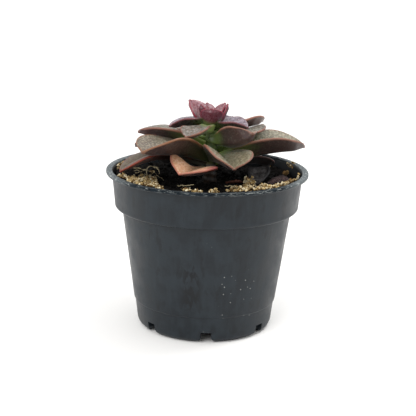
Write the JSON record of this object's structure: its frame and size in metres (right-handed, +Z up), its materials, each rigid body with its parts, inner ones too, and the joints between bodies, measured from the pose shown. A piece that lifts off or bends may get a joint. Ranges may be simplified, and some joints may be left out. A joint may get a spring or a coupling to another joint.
{
  "type": "potted echeveria",
  "caption": "Rosette succulent with broad, V-folded, dusky leaves on a short stem, growing in a round flared nursery pot filled with peat and tan grit.",
  "frame": {"origin": "the middle of the pot's foot, on the surface that it stands on", "axes": "+Z up the pot's axis; -Y toward the viewer in front, as pictured; +X to that viewer's right"},
  "size_m": [0.09, 0.09, 0.1014],
  "materials": {
    "pot_plastic": "satin, dusty, thin charcoal polypropylene",
    "peat": "crumbly damp black peat",
    "stem_green": "smooth fleshy green stem",
    "leaf_heart": "purple-pink with pale bloom and crimson margins",
    "leaf_inner": "mauve with silvery bloom and pink margins",
    "leaf_outer": "grey-olive with silvery speckled sheen, orange-brown margins, purple-brown underside",
    "leaf_low": "ageing salmon and olive, dark red margins",
    "dry_leaf_grey": "dry, papery, dark grey",
    "dry_leaf_purple": "dry, crumpled, purple-brown",
    "dry_leaf_red": "dry, shrivelled, red-brown",
    "grit": "loose tan and golden grit"
  },
  "bodies": {
    "root": {"pot": "pot_plastic", "soil": "peat", "stem": "stem_green", "leaf_heart_1": "leaf_heart", "leaf_heart_2": "leaf_heart", "leaf_heart_3": "leaf_heart", "leaf_heart_4": "leaf_heart", "leaf_heart_5": "leaf_heart", "leaf_heart_6": "leaf_heart", "leaf_upper_1": "leaf_inner", "leaf_upper_2": "leaf_inner", "leaf_upper_3": "leaf_inner", "leaf_upper_4": "leaf_inner", "leaf_middle_1": "leaf_outer", "leaf_middle_2": "leaf_outer", "leaf_middle_3": "leaf_outer", "leaf_middle_4": "leaf_outer", "leaf_middle_5": "leaf_outer", "leaf_middle_6": "leaf_outer", "leaf_middle_7": "leaf_outer", "leaf_outer_1": "leaf_outer", "leaf_outer_2": "leaf_outer", "leaf_outer_3": "leaf_outer", "leaf_outer_4": "leaf_outer", "leaf_outer_5": "leaf_outer", "leaf_outer_6": "leaf_outer", "leaf_low_1": "leaf_low", "leaf_low_2": "leaf_low", "leaf_low_3": "leaf_low", "leaf_low_4": "leaf_low", "leaf_low_5": "leaf_low", "dry_leaf_grey": "dry_leaf_grey", "dry_leaf_purple": "dry_leaf_purple", "dry_leaf_red": "dry_leaf_red", "grit_left": "grit", "grit_front": "grit", "grit_back": "grit"}
  },
  "joints": []
}
